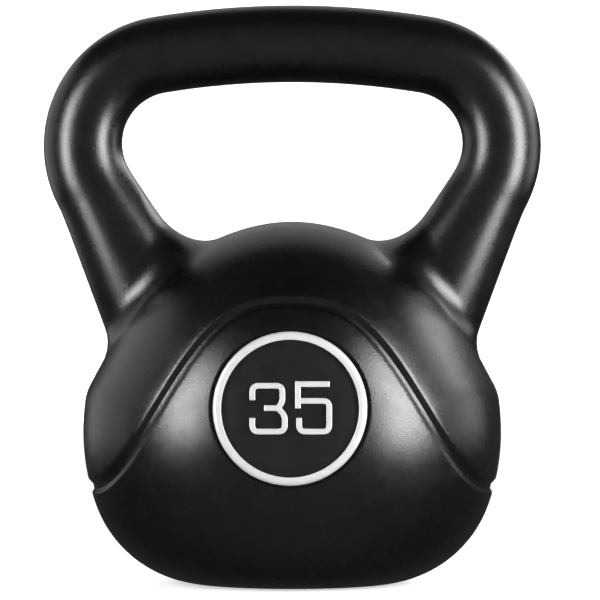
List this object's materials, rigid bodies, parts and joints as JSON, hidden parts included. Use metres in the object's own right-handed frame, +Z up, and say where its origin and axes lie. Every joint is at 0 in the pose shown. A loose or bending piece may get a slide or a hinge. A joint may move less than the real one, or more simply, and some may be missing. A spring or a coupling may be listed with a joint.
{
  "type": "kettlebell",
  "caption": "Kettlebell with a ball body, flat base and wide two-hand handle: a filled black plastic shell with an arched groove and a round weight badge.",
  "frame": {"origin": "centre of the flat base, on the floor", "axes": "+Z up, +X along the handle's grip, the front badge faces -Y"},
  "size_m": [0.2584, 0.1964, 0.3],
  "materials": {
    "shell_plastic": "black polyethylene, blow-moulded, satin with a fine leather grain",
    "ballast": "cast cement loaded with iron ore, matt",
    "plug_plastic": "black polyethylene, matt",
    "foam": "double-sided adhesive foam",
    "badge_black": "black, smooth satin",
    "badge_silver": "silver paint on plastic, satin"
  },
  "bodies": {
    "root": {"shell": "shell_plastic", "ballast_core": "ballast", "fill_plug": "plug_plastic", "front_badge_foam": "foam", "front_badge_plate": "badge_black", "front_badge_ring": "badge_silver", "front_digit_3": "badge_silver", "front_digit_5": "badge_silver", "rear_badge_foam": "foam", "rear_badge_plate": "badge_black", "rear_badge_ring": "badge_silver", "rear_digit_3": "badge_silver", "rear_digit_5": "badge_silver"}
  },
  "joints": []
}
